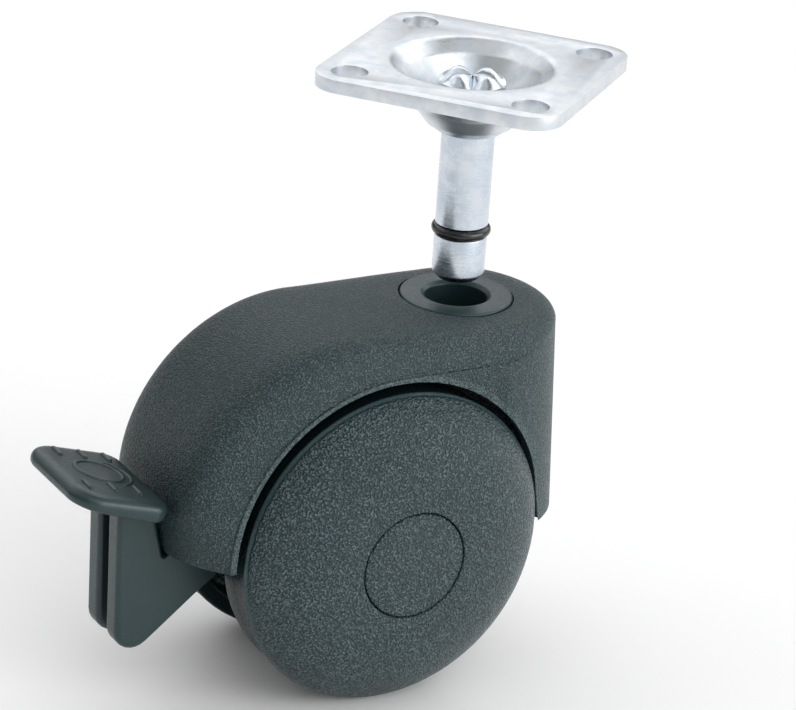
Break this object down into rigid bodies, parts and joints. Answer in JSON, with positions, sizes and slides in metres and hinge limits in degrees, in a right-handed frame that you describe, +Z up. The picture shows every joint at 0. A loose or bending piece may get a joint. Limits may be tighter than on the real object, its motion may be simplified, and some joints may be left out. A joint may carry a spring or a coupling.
{
  "type": "chair caster wheel",
  "caption": "Hooded twin-wheel swivel caster with a brake pedal and a plug-in stem on a square screw-on plate, the stem drawn out of its socket.",
  "frame": {"origin": "bottom centre of the bounding box; the wheels stand on z = 0", "axes": "+Z up along the stem, +X from the axle towards the stem socket (the pedal is at -X), +Y across the two wheels"},
  "size_m": [0.0916, 0.0494, 0.0942],
  "materials": {
    "hood_plastic": "moulded nylon, fine pebble grain",
    "collar_plastic": "moulded nylon, smooth satin",
    "wheel_plastic": "moulded nylon, wrinkled grain on the face, smooth tread",
    "cap_plastic": "moulded nylon, fine grain",
    "pedal_plastic": "moulded nylon, smooth satin",
    "inner_plastic": "moulded acetal, smooth",
    "zinc_plate": "pressed sheet steel, bright zinc plating",
    "zinc_pin": "turned steel, bright zinc plating",
    "steel": "drawn steel wire and pin stock",
    "spring_steel": "spring steel, satin",
    "black_ring": "blackened spring steel, glossy with oil"
  },
  "bodies": {
    "stem_plate": {"mounting_plate": "zinc_plate", "stem_pin": "zinc_pin"},
    "grip_ring": {"stem_ring": "black_ring"},
    "housing": {"hood": "hood_plastic", "socket_collar": "collar_plastic", "axle": "steel", "left_axle_clip": "spring_steel", "right_axle_clip": "spring_steel", "left_thrust_washer": "inner_plastic", "right_thrust_washer": "inner_plastic", "brake_pivot_pin": "steel", "brake_spring": "spring_steel"},
    "left_roller": {"left_wheel": "wheel_plastic", "left_hub_cap": "cap_plastic"},
    "right_roller": {"right_wheel": "wheel_plastic", "right_hub_cap": "cap_plastic"},
    "pedal": {"brake_lever": "pedal_plastic"},
    "lock": {"brake_shoe": "inner_plastic", "brake_lock_pin": "steel"}
  },
  "joints": [
    {"name": "swivel", "type": "hinge", "parent": "stem_plate", "child": "grip_ring", "pos_m": [0.02118, 0, 0.0682], "axis": [0, 0, 1], "continuous": true},
    {"name": "stem_plug", "type": "slide", "parent": "grip_ring", "child": "housing", "axis": [0, 0, 1], "range_m": [0, 0.026]},
    {"name": "left_wheel_roll", "type": "hinge", "parent": "housing", "child": "left_roller", "pos_m": [0.00368, 0.015, 0.025], "axis": [0, 1, 0], "continuous": true},
    {"name": "right_wheel_roll", "type": "hinge", "parent": "housing", "child": "right_roller", "pos_m": [0.00368, -0.015, 0.025], "axis": [0, 1, 0], "continuous": true},
    {"name": "brake_pedal", "type": "hinge", "parent": "housing", "child": "pedal", "pos_m": [-0.01782, 0, 0.029], "axis": [0, -1, 0], "range_deg": [0, 18]},
    {"name": "brake_lock", "type": "slide", "parent": "housing", "child": "lock", "axis": [1, 0, 0], "range_m": [0, 0.0015]}
  ],
  "couplings": [
    {"joint": "brake_lock", "follows": "brake_pedal", "m_per_rad": 0.0047746}
  ]
}
